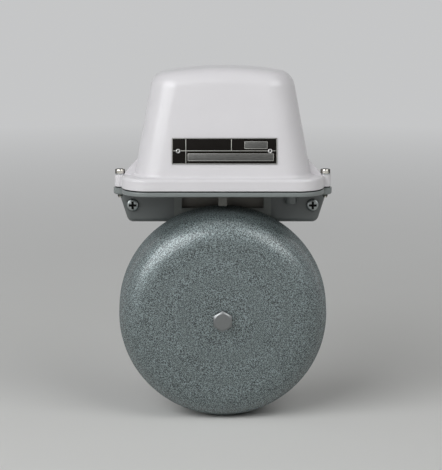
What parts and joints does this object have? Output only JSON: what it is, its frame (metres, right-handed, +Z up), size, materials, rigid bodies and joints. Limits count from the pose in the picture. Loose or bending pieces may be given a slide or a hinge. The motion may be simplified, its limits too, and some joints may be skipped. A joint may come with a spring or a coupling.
{
  "type": "wall-mounted single-gong electric bell",
  "caption": "Weatherproof electric bell for a wall: tapered cast hood over a magnet and hammer, shallow round gong hanging below on a steel bracket.",
  "frame": {"origin": "centre of the four wall-screw holes on the wall plane", "axes": "+Z up, -Y out of the wall towards the viewer, +X to the viewer's right"},
  "size_m": [0.156, 0.0668, 0.2503],
  "materials": {
    "white_enamel": "semi-gloss white enamel over a cast surface",
    "grey_enamel": "semi-gloss blue-grey enamel over a cast surface",
    "hammertone": "blue-grey hammertone paint with a fine metallic speckle",
    "grey_paint": "satin blue-grey paint",
    "zinc": "bright zinc plating",
    "bright_steel": "ground steel",
    "rubber": "matt black rubber",
    "fibre": "red-brown vulcanised fibre",
    "core_steel": "dull laminated steel",
    "former_plastic": "off-white moulded nylon",
    "coil_tape": "amber polyester tape",
    "brass": "machined brass",
    "phenolic": "black phenolic moulding",
    "wire_cover": "red insulated wire",
    "plated_screw": "bright plated steel",
    "plate_black": "black enamel with brushed fields and silver rules",
    "aluminium": "bright aluminium"
  },
  "bodies": {
    "bell_base": {"back_plate": "zinc", "clinch_nuts": "zinc", "base_housing": "grey_enamel", "housing_screws": "zinc", "base_gasket": "rubber", "cable_grommet": "rubber", "gong_bracket": "grey_paint", "bracket_screws": "zinc", "apron_screws": "zinc", "gong_post": "zinc", "gong_washer": "fibre", "gong": "hammertone", "gong_bolt": "zinc", "gong_lock_washer": "zinc", "gong_nut": "zinc", "mechanism_frame": "zinc", "magnet_core": "core_steel", "coil_former_left": "former_plastic", "coil_former_right": "former_plastic", "coil_winding_left": "coil_tape", "coil_winding_right": "coil_tape", "pole_shims": "brass", "core_screws": "zinc", "pivot_bracket": "zinc", "pivot_screws": "zinc", "pivot_pin": "bright_steel", "pin_clips": "bright_steel", "stop_bracket": "zinc", "stop_screw": "zinc", "stop_locknut": "zinc", "stop_bracket_screws": "zinc", "return_spring": "bright_steel", "terminal_block": "phenolic", "terminal_screws": "brass", "block_screws": "zinc", "coil_link": "wire_cover", "coil_lead_left": "wire_cover", "coil_lead_right": "wire_cover", "earth_screw": "brass"},
    "hammer_unit": {"armature": "core_steel", "pivot_bushes": "brass", "hammer_arm": "zinc", "arm_rivets": "zinc", "striker": "bright_steel", "striker_rivets": "zinc"},
    "hood_unit": {"hood": "white_enamel", "hood_screws": "plated_screw", "hood_washers": "zinc", "captive_rings": "zinc", "nameplate": "plate_black", "nameplate_rivets": "aluminium"}
  },
  "joints": [
    {"name": "hammer_swing", "type": "hinge", "parent": "bell_base", "child": "hammer_unit", "pos_m": [-0.042, -0.0245, 0.0077], "axis": [0, 1, 0], "range_deg": [0, 3.8], "stiffness_Nm_per_rad": 0.4, "springref_deg": -6.88, "deforming": ["return_spring"]},
    {"name": "hood_lift", "type": "slide", "parent": "bell_base", "child": "hood_unit", "axis": [0, 0, 1], "range_m": [0, 0.1]}
  ]
}
